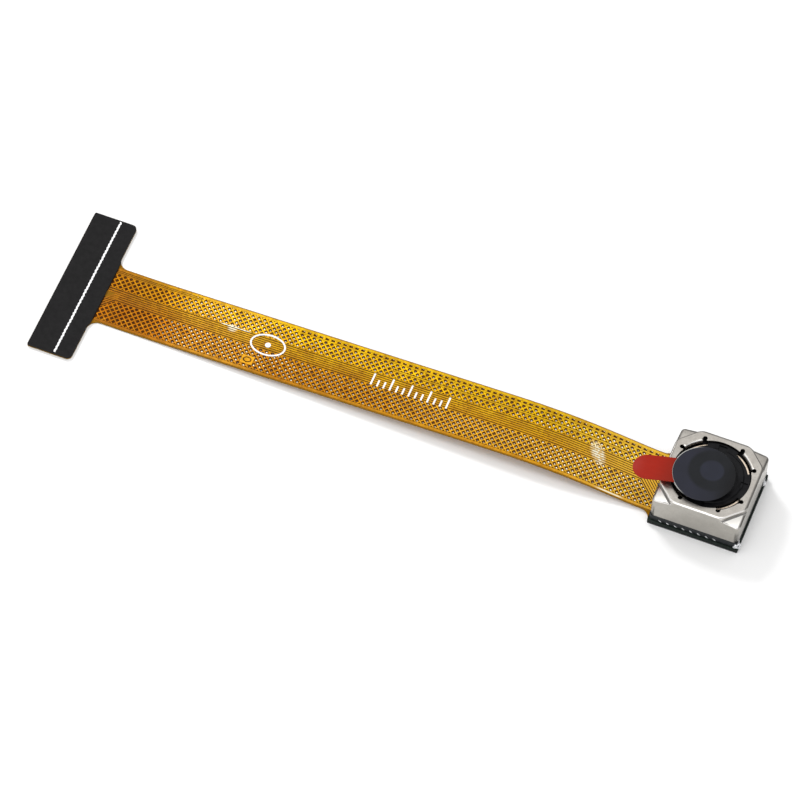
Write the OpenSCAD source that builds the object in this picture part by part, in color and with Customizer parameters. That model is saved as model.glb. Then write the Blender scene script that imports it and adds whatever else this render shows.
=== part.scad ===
// Compact autofocus camera module: a sensor board and voice-coil lens actuator
// in a pressed steel can, on a flat flexible tail with a stiffened contact end.
// Millimetres. X runs along the tail from the contacts to the head, Z is up,
// and the origin is under the head, on the optical axis.

/* [Head and can] */
// Side of the square can
can_side = 8.5; // [8.3:0.1:9.6]
// Height of the can, from the base rim to its flat top
can_height = 3.1; // [3.0:0.05:3.6]
// Thickness of the can's sheet metal
can_sheet = 0.15; // [0.1:0.01:0.18]
// Radius of the can's upright corners
can_corner_r = 0.4; // [0.3:0.05:0.6]
// Depth of the pressed step in each corner of the can's top
corner_step = 0.5; // [0.4:0.05:0.6]
// Length of can edge that each corner step takes
corner_leg = 1.85; // [1.6:0.05:1.9]
// Radius of the drawn edge round the can's top
can_edge_r = 0.2; // [0.15:0.01:0.22]
// Radius of the round opening in the can's top
opening_r = 3.65; // [3.62:0.01:3.7]
// Radius of the round relief at each end of a lip
relief_r = 0.2; // [0.15:0.01:0.22]
// Half of the angle between the two reliefs of one corner
relief_angle = 17.5; // [15:0.5:20]

/* [Layers under the can] */
// Thickness of the steel plate under the head
stiffener_t = 0.15; // [0.1:0.01:0.3]
// Thickness of the sensor board
board_t = 0.35; // [0.3:0.01:0.6]
// How far the board stands out past the can on each side
board_margin = 0.13; // [0.05:0.01:0.3]
// Radius of the board's corners
board_corner_r = 0.12; // [0.05:0.01:0.3]
// Radius of the plastic base's corners
base_corner_r = 0.2; // [0.1:0.01:0.4]
// Height of the plastic base's rim between board and can
base_rim_h = 0.75; // [0.7:0.01:1.0]
// Number of solder joints along the board's front edge
pad_count = 8; // [4:1:9]
// Distance between these joints
pad_pitch = 0.75; // [0.6:0.05:0.8]
// Distance from the optical axis to the middle of their row
pad_row_x = -0.55; // [-0.8:0.05:0.8]

/* [Image sensor] */
// Length of the sensor die
die_x = 6.0; // [5.0:0.1:6.4]
// Width of the sensor die
die_y = 5.2; // [4.5:0.1:5.6]
// Thickness of the sensor die
die_t = 0.2; // [0.15:0.01:0.25]
// Length of the light-sensitive field
array_x = 4.7; // [4.0:0.1:4.9]
// Width of the light-sensitive field
array_y = 3.5; // [3.0:0.1:4.2]
// Length of one chip capacitor
cap_l = 0.6; // [0.4:0.1:0.6]
// Width and height of one chip capacitor
cap_w = 0.3; // [0.2:0.05:0.3]
// Distance between chip capacitors
cap_pitch = 1.2; // [0.9:0.1:1.4]
// Length of the focus driver chip
chip_l = 1.4; // [1.0:0.1:2.0]
// Thickness of the infrared filter
filter_t = 0.15; // [0.1:0.01:0.2]

/* [Focus drive] */
// Travel of the lens between its two stops
focus_stroke = 0.3; // [0.2:0.01:0.32]
// Radius of the lens barrel's threaded body
barrel_r = 3.0; // [2.9:0.01:3.04]
// Wall of the lens carrier round the barrel
carrier_wall = 0.4; // [0.36:0.01:0.42]
// Radial thickness of the coil winding
coil_build = 0.2; // [0.12:0.01:0.22]
// Air gap between coil and magnets
magnet_gap = 0.2; // [0.15:0.01:0.22]
// Thickness of the two leaf springs
spring_t = 0.06; // [0.04:0.01:0.08]
// Width of the springs' four arms
arm_w = 0.1; // [0.06:0.01:0.12]
// Gap between a spring's ring and its arms
arm_gap = 0.08; // [0.05:0.01:0.1]
// Height of the corner magnets
magnet_h = 1.6; // [1.3:0.05:1.7]
// Width of the two terminal tabs
terminal_w = 0.5; // [0.3:0.05:0.7]
// Radius of the solder beads at the terminals
bead_r = 0.34; // [0.25:0.01:0.38]

/* [Lens stack] */
// Radius of the raised nose of the lens barrel
nose_r = 2.14; // [1.9:0.02:2.3]
// Height of the nose above the can's flat top
nose_rise = 0.53; // [0.45:0.01:0.7]
// Radius of the entrance opening in the nose
entrance_r = 1.1; // [0.9:0.02:1.3]
// Radius of the clear protective disc
cover_r = 2.85; // [2.6:0.05:3.2]
// Width of the red pull tab
tab_w = 2.6; // [2.0:0.1:3.0]
// Distance from the disc's centre to the end of the tab
tab_reach = 6.6; // [5.0:0.05:9.0]
// Angle between the tab and the line of the tail
tab_angle = 14; // [0:1:30]

/* [Flexible tail] */
// Distance from the optical axis to the contact edge
tail_reach = 64.3; // [63:0.1:90]
// Width of the flexible tail
tail_w = 6.5; // [6.0:0.1:7.0]
// Thickness of the laminated film
film_t = 0.12; // [0.1:0.01:0.2]
// Thickness of the copper layers
copper_t = 0.02; // [0.015:0.005:0.04]
// Radius of the fillets where the tail widens
neck_r = 1.0; // [0.6:0.1:1.4]
// Radius of the tail's arch before the head
arch_r = 59; // [50:1:80]
// Angle at which the tail falls from the arch to the head
fall_angle = 8.0; // [6:0.1:9]
// Flat length of tail between the contact end and the rise
lead_length = 3.15; // [1:0.05:6]
// Length of the straight fall
fall_length = 2.4; // [2:0.1:4]

/* [Contact end] */
// Depth of the contact end along the tail
contact_d = 4.35; // [3.8:0.05:6]
// Number of contact fingers
finger_count = 32; // [20:1:32]
// Distance between contact fingers
finger_pitch = 0.5; // [0.4:0.05:0.5]
// Width of one contact finger
finger_w = 0.3; // [0.2:0.01:0.35]
// Length of one contact finger
finger_l = 3.0; // [2.5:0.1:3.4]
// Distance from the last finger's centre to the end's short edge
finger_margin = 0.4; // [0.3:0.05:0.6]
// Thickness of the black stiffener
contact_stiffener_t = 0.18; // [0.1:0.01:0.3]
// Share of the depth at which the insertion line lies
line_share = 0.62; // [0.5:0.01:0.8]
// Width of the insertion line
line_w = 0.22; // [0.15:0.01:0.3]

/* [Copper pattern] */
// Spacing of the ground lattice along the tail
lattice_pitch = 0.595; // [0.55:0.005:0.9]
// Width of one lattice line
lattice_line = 0.13; // [0.11:0.01:0.2]
// Number of signal traces in the bundle
trace_count = 5; // [3:1:5]
// Distance between signal traces
trace_pitch = 0.23; // [0.2:0.01:0.23]
// Width of one signal trace
trace_w = 0.15; // [0.1:0.01:0.16]
// Gap between the bundle and the rails beside it
rail_gap = 0.1; // [0.08:0.01:0.14]
// Width of the rails
rail_w = 0.08; // [0.06:0.01:0.12]
// Length of the slanting part of the bundle at the head
fan_run = 1.95; // [1.2:0.05:2.4]
// Length of the slanting part of the bundle at the contacts
contact_fan = 1.1; // [0.6:0.05:1.6]

// Distance from the contact edge to the start of the full-width lattice
full_lattice_at = 13.1; // [12:0.1:15]
// Distance from the contact edge to the start of the row of short bars
edge_row_at = 22.9; // [20:0.1:25]
// Distance from the contact edge to the start of the inner line
inner_line_at = 32.7; // [28:0.1:36]
// Distance from the contact edge to the test pad
test_pad_at = 19.6; // [18.8:0.1:22]

/* [Printed marks] */
// Distance from the contact edge to the middle of the oval mark
oval_at = 20.8; // [18:0.1:22]
// Length of the oval mark
oval_l = 3.5; // [2.4:0.1:3.8]
// Height of the oval mark
oval_h = 2.4; // [1.6:0.1:2.6]
// Distance from the contact edge to the scale of ticks
ticks_at = 31.2; // [27:0.1:34]
// Height of the long ticks
tick_h = 1.3; // [0.8:0.1:1.6]
// Distance between ticks
tick_pitch = 0.62; // [0.5:0.01:0.7]
// Width of the printed lines
ink_w = 0.17; // [0.12:0.01:0.22]

/* [Hidden] */
$fn = 64;

// Clearances
slip_gap = 0.02;      // between parts that are glued or screwed together
running_gap = 0.07;   // between the carrier and the can's opening
headroom = 0.06;      // between the upper spring at full travel and the can's top
glue_film = 0.05;     // copper and coatings keep this far from an edge
eps = 0.01;           // overshoot of a cut past the face it opens

// Levels, from the underside up
board_side = can_side + 2 * board_margin;
z_film = stiffener_t;
z_board = z_film + film_t;
z_base = z_board + board_t;
z_can = z_base + base_rim_h;
z_top = z_can + can_height;
z_plate = z_top - can_sheet;
z_spring = z_plate - focus_stroke - spring_t - headroom;
z_cover = z_top + nose_rise;
base_deck_t = 0.18;
z_deck = z_can + base_deck_t;
z_carrier = z_deck + spring_t;

// Radii round the optical axis
carrier_bore = barrel_r + slip_gap;
carrier_r = carrier_bore + carrier_wall;
coil_r = carrier_r + coil_build;
magnet_r = coil_r + magnet_gap;
stop_r = opening_r - running_gap;
lip_out_r = opening_r + 0.2;
lip_in_r = lip_out_r - can_sheet;
relief_at = opening_r + 0.28;
cavity_side = can_side - 2 * can_sheet;
cavity_corner_r = can_corner_r - can_sheet;
CORNERS = [45, 135, 225, 315];
SIDES = [0, 90, 180, 270];

// ---------- shapes shared by several pieces ----------

// Square about the axis with rounded corners
module round_square(side, r) {
    union() {
        square([side - 2 * r, side], center = true);
        square([side, side - 2 * r], center = true);
        for (sx = [-1, 1], sy = [-1, 1])
            translate([sx * (side / 2 - r), sy * (side / 2 - r)]) circle(r);
    }
}

// Rounded square with its four corners cut off straight
module cut_square(side, r, leg) {
    reach = (side - leg) / sqrt(2);
    intersection() {
        round_square(side, r);
        rotate(45) square(2 * reach, center = true);
    }
}

// Ring between two radii
module ring(r_in, r_out) {
    difference() {
        circle(r_out);
        circle(r_in);
    }
}

// Sector of a ring, centred on one angle
module ring_sector(r_in, r_out, angle, half) {
    far = r_out * 1.5;
    intersection() {
        ring(r_in, r_out);
        polygon([[0, 0], far * [cos(angle - half), sin(angle - half)],
                 far * [cos(angle), sin(angle)], far * [cos(angle + half), sin(angle + half)]]);
    }
}

// Bar along Y with its two top edges rounded in three flats
module rounded_bar(width, z0, z1, r) {
    arc = [for (a = [0:30:90]) [width / 2 - r + r * cos(a), z1 - r + r * sin(a)]];
    mirrored = [for (i = [len(arc) - 1:-1:0]) [-arc[i][0], arc[i][1]]];
    rotate([90, 0, 0]) linear_extrude(2 * width, center = true)
        polygon(concat([[width / 2, z0]], arc, mirrored, [[-width / 2, z0]]));
}

// A flat shape raised to a level
module layer(z, h) {
    translate([0, 0, z]) linear_extrude(h) children();
}

// Inside corner filled to a radius, along +X and +Y from its corner
module corner_fill(r) {
    difference() {
        square(r);
        translate([r, r]) circle(r);
    }
}

// ---------- the tail's side view: a track of [x, z, heading] ----------

tail_end = -tail_reach;
contact_in = tail_end + contact_d;
contact_w = (finger_count - 1) * finger_pitch + 2 * finger_margin;
board_edge = -board_side / 2;
landing_r = 20;
rise_r = 100;
finger_t = 0.03;
landing_gap = 0.1;
landing_x = board_edge - landing_gap;
lift_x = contact_in + lead_length;

function bend(p, r, turn, n) =
    let (s = sign(turn), c = [p[0], p[1]] + s * r * [-sin(p[2]), cos(p[2])])
    [for (i = [1:n]) let (a = p[2] + turn * i / n)
        [c[0] + s * r * sin(a), c[1] - s * r * cos(a), a]];
function ahead(p, run) = [p[0] + run * cos(p[2]), p[1] + run * sin(p[2]), p[2]];
function last(list) = list[len(list) - 1];

// The rise is the straight that touches both the bend at the contacts and the arch
arch_top = z_film + (landing_r + arch_r) * (1 - cos(fall_angle)) + fall_length * sin(fall_angle);
arch_x = landing_x - (landing_r + arch_r) * sin(fall_angle) - fall_length * cos(fall_angle);
rise_run = arch_x - lift_x;
rise_height = arch_top - finger_t;
bends_r = arch_r + rise_r;
rise_angle = atan2(rise_run, bends_r - rise_height) - acos(bends_r / norm([rise_run, bends_r - rise_height]));
rise_length = (rise_height - bends_r * (1 - cos(rise_angle))) / sin(rise_angle);
lift_off = [lift_x, finger_t, 0];
rise_bend = bend(lift_off, rise_r, rise_angle, 3);
arch_bend = bend(ahead(last(rise_bend), rise_length), arch_r, -rise_angle - fall_angle, 8);
landing_bend = bend(ahead(last(arch_bend), fall_length), landing_r, fall_angle, 4);
track = concat([[tail_end, finger_t, 0], lift_off], rise_bend,
               [ahead(last(rise_bend), rise_length)], arch_bend,
               [ahead(last(arch_bend), fall_length)], landing_bend,
               [[-board_edge, z_film, 0]]);

function lifted(p, h) = [p[0] - h * sin(p[2]), p[1] + h * cos(p[2])];

// A sheet that follows the track between two heights above it
module tail_sheet(h0, h1) {
    wide = contact_w + board_side;
    outline = concat([for (p = track) lifted(p, h0)],
                     [for (i = [len(track) - 1:-1:0]) lifted(track[i], h1)]);
    rotate([90, 0, 0]) linear_extrude(wide, center = true) polygon(outline);
}

// A flat pattern laid on the tail between two heights above the track
module on_tail(h0, h1) {
    intersection() {
        tail_sheet(h0, h1);
        linear_extrude(z_board + arch_top) children();
    }
}

contact_outer_r = 0.15;
contact_inner_r = 0.5;

// Plan of the contact end: its inner corners are rounded more than its outer ones
module contact_plan() {
    half = contact_w / 2;
    straight = contact_d - contact_outer_r - contact_inner_r;
    union() {
        translate([tail_end + contact_outer_r, -half]) square([straight, contact_w]);
        translate([tail_end, contact_outer_r - half]) square([contact_outer_r, contact_w - 2 * contact_outer_r]);
        translate([contact_in - contact_inner_r, contact_inner_r - half])
            square([contact_inner_r, contact_w - 2 * contact_inner_r]);
        for (s = [-1, 1]) {
            translate([tail_end + contact_outer_r, s * (half - contact_outer_r)]) circle(contact_outer_r);
            translate([contact_in - contact_inner_r, s * (half - contact_inner_r)]) circle(contact_inner_r);
        }
    }
}

// Plan of the whole tail, from the contacts to the sheet under the head
module tail_plan() {
    half = tail_w / 2;
    union() {
        contact_plan();
        translate([contact_in - 1, -half]) square([board_edge - contact_in + 2, tail_w]);
        round_square(board_side, board_corner_r);
        for (s = [-1, 1]) {
            translate([contact_in, s * half]) scale([1, s]) corner_fill(neck_r);
            translate([board_edge, s * half]) scale([-1, s]) corner_fill(min(neck_r, (board_side - tail_w) / 2));
        }
    }
}

// ---------- layers of the head ----------

module head_stiffener() {
    color("silver") layer(0, stiffener_t) round_square(board_side, board_corner_r);
}

module flex_film() {
    color([0.62, 0.36, 0.08]) on_tail(0, film_t) tail_plan();
}

module sensor_board() {
    color([0.06, 0.13, 0.11]) layer(z_board, board_t) round_square(board_side, board_corner_r);
}

pad_w = 0.28;
pad_h = 0.28;
pad_t = 0.05;

// Joints on the ledge that the board leaves in front of the base
module edge_pads() {
    first_x = pad_row_x - (pad_count - 1) / 2 * pad_pitch - pad_w / 2;
    color("gainsboro")
        for (i = [0:pad_count - 1])
            translate([first_x + i * pad_pitch, -can_side / 2 - pad_t, z_base]) cube([pad_w, pad_t, pad_h]);
}

module image_sensor() {
    color([0.25, 0.27, 0.3]) translate([-die_x / 2, -die_y / 2, z_base]) cube([die_x, die_y, die_t]);
}

array_t = 0.03;

module pixel_array() {
    color([0.2, 0.35, 0.3]) translate([-array_x / 2, -array_y / 2, z_base + die_t])
        cube([array_x, array_y, array_t]);
}

// The base's inner chamber, between board and ceiling
chamber_wall = 0.6;
ceiling_t = 0.32;
chamber_side = can_side - 2 * chamber_wall;
chamber_h = base_rim_h - ceiling_t;
z_ceiling = z_base + chamber_h;
window_x = 5.2;
window_y = 4.2;
filter_x = 6.2;
filter_y = 5.4;

cap = [cap_l, cap_w, cap_w];
chip = [0.4, chip_l, 0.3];

module chip_capacitors() {
    shelf_y = (die_y / 2 + chamber_side / 2) / 2;
    color([0.55, 0.42, 0.3])
        for (s = [-1, 1], i = [-1.5:1:1.5])
            translate([i * cap_pitch - cap[0] / 2, s * shelf_y - cap[1] / 2, z_base]) cube(cap);
}

module driver_chip() {
    shelf_x = (die_x / 2 + chamber_side / 2) / 2;
    color([0.12, 0.12, 0.13])
        translate([shelf_x - chip[0] / 2, -chip[1] / 2, z_base]) cube(chip);
}

module actuator_base() {
    post_h = z_magnet - z_deck;
    deck_side = cavity_side - 2 * slip_gap;
    color([0.13, 0.15, 0.17]) union() {
        difference() {
            union() {
                layer(z_base, base_rim_h) round_square(can_side, base_corner_r);
                layer(z_can, base_deck_t) round_square(deck_side, cavity_corner_r);
            }
            layer(z_base - eps, chamber_h + eps) square(chamber_side, center = true);
            layer(z_base, base_rim_h) square([window_x, window_y], center = true);
            layer(z_ceiling - eps, filter_t + slip_gap + eps)
                square([filter_x + 2 * slip_gap, filter_y + 2 * slip_gap], center = true);
            layer(z_ceiling + filter_t + slip_gap, 2) circle(carrier_bore - 0.1);
        }
        layer(z_deck, post_h) corner_posts(deck_side);
    }
}

// Four blocks in the corners, outside the springs' pads
module corner_posts(side) {
    difference() {
        round_square(side, cavity_corner_r);
        circle(post_r);
        square([side + 1, 2 * corner_from], center = true);
        square([2 * corner_from, side + 1], center = true);
    }
}

module ir_filter() {
    color([0.45, 0.6, 0.75, 0.6]) layer(z_ceiling, filter_t) square([filter_x, filter_y], center = true);
}

// ---------- can ----------

// Plan of the opening: round, wider behind the four bent lips, with reliefs
module opening_plan() {
    union() {
        circle(opening_r);
        for (c = CORNERS) {
            ring_sector(opening_r - 0.5, lip_out_r, c, relief_angle);
            for (s = [-1, 1])
                rotate(c + s * relief_angle) translate([relief_at, 0]) circle(relief_r);
        }
    }
}

// The can above its corner steps, with rounded top edges all round
module raised_top(z_shelf) {
    across_corners = (can_side - corner_leg) * sqrt(2);
    intersection() {
        layer(z_shelf, corner_step) cut_square(can_side, can_corner_r, corner_leg);
        rounded_sides(can_side, z_shelf);
        rotate(45) rounded_sides(across_corners, z_shelf);
    }
}

module rounded_sides(width, z_shelf) {
    intersection() {
        rounded_bar(width, z_shelf - 1, z_top, can_edge_r);
        rotate(90) rounded_bar(width, z_shelf - 1, z_top, can_edge_r);
    }
}

module yoke_can() {
    lip_half = relief_angle - 3.5;
    lip_bottom = z_spring + spring_t + 0.08;
    z_shelf = z_top - corner_step;
    color([0.8, 0.78, 0.75]) union() {
        difference() {
            union() {
                layer(z_can, z_shelf - z_can) round_square(can_side, can_corner_r);
                raised_top(z_shelf);
            }
            layer(z_can - eps, z_shelf - z_can - can_sheet + eps) round_square(cavity_side, cavity_corner_r);
            layer(z_can, z_plate - z_can)
                cut_square(cavity_side, cavity_corner_r, corner_leg);
            layer(z_plate - eps, can_sheet + 2 * eps) opening_plan();
        }
        for (c = CORNERS)
            layer(lip_bottom, z_top - lip_bottom) ring_sector(lip_in_r, lip_out_r + eps, c, lip_half);
    }
}

// ---------- magnets and springs ----------

z_magnet = z_spring - 0.35 - magnet_h;
corner_from = 1.7;
pad_in_r = magnet_r + 0.06;
pad_out_r = pad_in_r + 0.55;
post_r = pad_out_r + 0.05;

module corner_magnets() {
    side = cavity_side - 2 * slip_gap;
    color([0.62, 0.63, 0.66]) layer(z_magnet, magnet_h) difference() {
        cut_square(side, cavity_corner_r, 0.8);
        circle(magnet_r);
        square([side + 1, 2 * corner_from], center = true);
        square([2 * corner_from, side + 1], center = true);
    }
}

module spring_frame() {
    side = cavity_side - 2 * slip_gap;
    z_frame = z_magnet + magnet_h;
    bar_h = 0.2;
    color([0.1, 0.1, 0.11]) union() {
        layer(z_frame, bar_h) difference() {
            round_square(side, cavity_corner_r);
            circle(magnet_r - 0.05);
        }
        for (c = CORNERS)
            layer(z_frame, z_spring - z_frame) ring_sector(pad_in_r, pad_out_r, c, 12);
    }
}

// A flat spring: inner ring, four arms that run round it, and four corner pads
module leaf_spring_plan(r_in, r_out) {
    arm_r = r_out + arm_gap;
    arm_turn = 46;
    union() {
        ring(r_in, r_out);
        for (c = CORNERS) {
            ring_sector(pad_in_r, pad_out_r, c, 12);
            ring_sector(arm_r, arm_r + arm_w, c - arm_turn / 2, arm_turn / 2);
            ring_sector(r_out - arm_w / 2, arm_r + arm_w, c - arm_turn, 1.2);
            ring_sector(arm_r, pad_in_r + arm_w / 2, c, 1.2);
        }
    }
}

spring_ring_r = carrier_bore + 0.26;

module upper_spring() {
    color([0.86, 0.74, 0.58]) layer(z_spring, spring_t)
        leaf_spring_plan(spring_ring_r + slip_gap, stop_r);
}

module lower_spring() {
    color([0.86, 0.74, 0.58]) layer(z_deck, spring_t)
        leaf_spring_plan(carrier_bore + 0.1, carrier_r);
}

// Two tabs on the head's right side carry the coil current to the board
terminal_t = 0.06;
terminal_y = [-3.95, 3.3];

module coil_terminals() {
    color("gainsboro")
        for (y = terminal_y)
            translate([can_side / 2, y - terminal_w / 2, z_base])
                cube([terminal_t, terminal_w, base_rim_h - 0.1]);
}

module solder_joints() {
    color("whitesmoke")
        for (y = terminal_y)
            difference() {
                translate([can_side / 2 + 0.02, y, z_base]) sphere(bead_r, $fn = 32);
                translate([-can_side, -can_side, z_base - 1]) cube([1.5 * can_side + terminal_t, 2 * can_side, 3]);
                translate([0, 0, z_base - 1]) linear_extrude(1) square(board_side, center = true);
            }
}

// ---------- moving lens unit ----------

flange_r = coil_r + 0.01;
z_coil = z_carrier + 0.45;
z_coil_top = z_spring - 0.5;
z_stop = z_top - 0.22;

module lens_carrier() {
    stop_half = 45 - relief_angle - 3;
    slot_w = 0.8;
    color([0.09, 0.09, 0.1]) difference() {
        union() {
            layer(z_carrier, z_spring - z_carrier) ring(carrier_bore, carrier_r);
            layer(z_coil - 0.15, 0.15) ring(carrier_bore, flange_r);
            layer(z_coil_top, 0.15) ring(carrier_bore, flange_r);
            layer(z_spring - eps, z_stop - z_spring + eps) ring(carrier_bore, spring_ring_r);
            for (a = SIDES)
                layer(z_spring + spring_t, z_stop - z_spring - spring_t)
                    ring_sector(spring_ring_r - 0.05, stop_r, a, stop_half);
        }
        for (a = SIDES)
            rotate(a) translate([carrier_bore - 0.1, -slot_w / 2, z_stop - 0.12]) cube([0.5, slot_w, 1]);
    }
}

module drive_coil() {
    color([0.72, 0.4, 0.2]) layer(z_coil, z_coil_top - z_coil) ring(carrier_r, coil_r);
}

// Lens elements, from the front: [radius, edge thickness, front sag, rear sag]
LENSES = [[1.50, 0.58, 0.20, 0.04],
          [1.72, 0.40, -0.06, 0.12],
          [1.98, 0.36, 0.10, 0.06],
          [2.32, 0.38, -0.12, 0.16],
          [2.66, 0.42, -0.14, -0.10]];
baffle_t = 0.04;
element_gap = 0.01;
barrel_bottom = z_carrier + 0.1;
z_seat = z_cover - 0.38;

// Radius of the curved faces of lens number i, inside its flat rim
function face_r(i) = i == 0 ? entrance_r - 0.1 - element_gap : LENSES[i][0] - 0.5;
// Level of the upper edge of lens number i
function lens_top(i) = i == 0 ? z_seat : lens_top(i - 1) - LENSES[i - 1][1] - baffle_t;
function lens_low(i) = lens_top(i) - LENSES[i][1];

module lens_barrel() {
    z_flange = z_top - 0.12;
    chamfer = 0.1;
    outer = [[barrel_r, barrel_bottom], [barrel_r, z_flange - chamfer], [barrel_r - chamfer, z_flange],
             [nose_r + 0.3, z_flange], [nose_r + 0.06, z_flange + 0.14], [nose_r, z_cover - chamfer],
             [nose_r - chamfer, z_cover], [entrance_r + 0.12, z_cover], [entrance_r - 0.1, z_cover - 0.2],
             [entrance_r - 0.1, z_seat]];
    steps = [for (i = [0:len(LENSES) - 1], low = [0, 1])
                [LENSES[i][0] + element_gap, low == 0 ? lens_top(i) : lens_low(i) - baffle_t]];
    seat_bore = LENSES[len(LENSES) - 1][0] + element_gap;
    color([0.06, 0.06, 0.07]) difference() {
        rotate_extrude() polygon(concat(outer, steps, [[seat_bore, barrel_bottom]]));
        for (a = SIDES)
            rotate(a) translate([barrel_r - 0.28, -0.35, z_flange - 0.12]) cube([1, 0.7, 1]);
    }
}

// Points of a lens face from the axis out to radius r, rising by sag at the axis
function face_points(r, z, sag, n) = [for (i = [0:n]) let (t = i / n) [r * t, z + sag * (1 - t * t)]];

module lens_element(i) {
    front = face_points(face_r(i), lens_top(i), LENSES[i][2], 6);
    rear = face_points(face_r(i), lens_low(i), LENSES[i][3], 6);
    back = [for (k = [len(rear) - 1:-1:0]) rear[k]];
    rim = [[LENSES[i][0], lens_top(i)], [LENSES[i][0], lens_low(i)]];
    rotate_extrude() polygon(concat(front, rim, back));
}

module front_lens() {
    color([0.5, 0.55, 0.75, 0.5]) lens_element(0);
}

module second_lens() {
    color([0.7, 0.75, 0.8, 0.5]) lens_element(1);
}

module third_lens() {
    color([0.7, 0.75, 0.8, 0.5]) lens_element(2);
}

module fourth_lens() {
    color([0.7, 0.75, 0.8, 0.5]) lens_element(3);
}

module rear_lens() {
    color([0.7, 0.75, 0.8, 0.5]) lens_element(4);
}

module light_baffles() {
    color([0.05, 0.05, 0.05])
        for (i = [0:len(LENSES) - 2])
            layer(lens_top(i + 1), baffle_t) ring(face_r(i + 1) + 0.02, LENSES[i][0]);
}

module retaining_ring() {
    low = lens_low(len(LENSES) - 1);
    r = LENSES[len(LENSES) - 1][0];
    color([0.08, 0.08, 0.08]) layer(barrel_bottom, low - barrel_bottom) ring(r - 0.4, r);
}

// The clear disc lies on the nose, a little off centre, and carries the tab
cover_at = [-0.5, -0.6];
cover_t = 0.05;
tab_t = 0.06;

// Plan of the strip along the tab, from one distance out to the round end
module tab_plan(from) {
    translate(cover_at) rotate(180 + tab_angle) {
        translate([from, -tab_w / 2]) square([tab_reach - tab_w / 2 - from, tab_w]);
        translate([tab_reach - tab_w / 2, 0]) circle(tab_w / 2);
    }
}

module protective_film() {
    color([0.55, 0.6, 0.75, 0.35]) layer(z_cover, cover_t) union() {
        translate(cover_at) circle(cover_r);
        tab_plan(cover_r - 0.8);
    }
}

module pull_tab() {
    color([0.72, 0.12, 0.1]) layer(z_cover + cover_t, tab_t) tab_plan(cover_r + 0.2);
}

// ---------- contact end ----------

finger_setback = 0.12;

module contact_fingers() {
    color([0.9, 0.72, 0.3])
        for (i = [0:finger_count - 1])
            translate([tail_end + finger_setback, (i - (finger_count - 1) / 2) * finger_pitch - finger_w / 2, 0])
                cube([finger_l, finger_w, finger_t]);
}

stiffener_over = 0.15;

module contact_stiffener() {
    color([0.13, 0.13, 0.13]) layer(finger_t + film_t, contact_stiffener_t) intersection() {
        tail_plan();
        translate([tail_end - 1, -contact_w]) square([contact_d + 1 + stiffener_over, 2 * contact_w]);
    }
}

module insertion_line() {
    line_t = 0.02;
    margin = 0.15;
    color("white") translate([tail_end + line_share * contact_d - line_w / 2, margin - contact_w / 2,
                              finger_t + film_t + contact_stiffener_t])
        cube([line_w, contact_w - 2 * margin, line_t]);
}

// ---------- copper on the tail ----------

copper_from = contact_in + stiffener_over + glue_film;
copper_to = board_edge - glue_film;
border_w = 0.25;
border_y = tail_w / 2 - 0.1 - border_w / 2;
bundle_y = 0.24;
bundle_out = (trace_count - 1) / 2 * trace_pitch + trace_w / 2;
rail_out = bundle_out + rail_gap + rail_w;
bending_traces = 3;
edge_row_y = border_y - 0.42;
edge_trace_y = border_y - 0.24;
edge_trace_w = 0.1;
inner_line_y = 1.75;
upper_zone_x = tail_end + full_lattice_at;
edge_row_x = tail_end + edge_row_at;
inner_line_x = tail_end + inner_line_at;
test_pad = [tail_end + test_pad_at, -2.04];
test_pad_l = 1.2;
test_pad_h = 0.95;
test_ring_l = 0.84;
test_ring_h = 0.64;
test_ring_w = 0.12;
edge_line_w = 0.14;
inner_line_end = copper_to - 4;

function oval(rx, ry) = [for (a = [0:15:345]) [rx * cos(a), ry * sin(a)]];

// A straight copper line along the tail
module line_x(x0, x1, y, w) {
    translate([x0, y - w / 2]) square([x1 - x0, w]);
}

// A line of the given width between two points
module line_between(a, b, w) {
    d = b - a;
    translate(a) rotate(atan2(d[1], d[0])) translate([0, -w / 2]) square([norm(d), w]);
}

module test_pad_plan(grow) {
    translate(test_pad) square([test_pad_l + grow, test_pad_h + grow], center = true);
}

// Where a line of the bundle turns aside, at the head and at the contacts
function head_knee(y) = copper_to - fan_run + (y - bundle_y + rail_out) * tan(22.5);
function contact_knee(y) = copper_from + contact_fan - (y - bundle_y + rail_out) * tan(22.5);

// One line of the bundle: it slants at the head, and at the contacts if it bends there too
module bundle_line(y, w, bends) {
    head = head_knee(y);
    start = bends ? contact_knee(y) : copper_from;
    line_x(start, head, y, w);
    line_between([head, y], [copper_to + w, y - copper_to - w + head], w);
    translate([head, y]) circle(w / 2, $fn = 16);
    if (bends) {
        line_between([start, y], [copper_from - w, y - start + copper_from - w], w);
        translate([start, y]) circle(w / 2, $fn = 16);
    }
}

module bundle_plan() {
    for (i = [0:trace_count - 1])
        bundle_line(bundle_y + (i - (trace_count - 1) / 2) * trace_pitch, trace_w, i < bending_traces);
    bundle_line(bundle_y - rail_out + rail_w / 2, rail_w, true);
    bundle_line(bundle_y + rail_out - rail_w / 2, rail_w, false);
}

// The strip that the bundle and its rails take
module corridor_plan() {
    low = bundle_y - rail_out;
    high = bundle_y + rail_out;
    polygon([[copper_from, high], [head_knee(high), high], [copper_to, high - copper_to + head_knee(high)],
             [copper_to, low - copper_to + head_knee(low)], [head_knee(low), low], [contact_knee(low), low],
             [copper_from, low - contact_knee(low) + copper_from]]);
}

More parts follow.
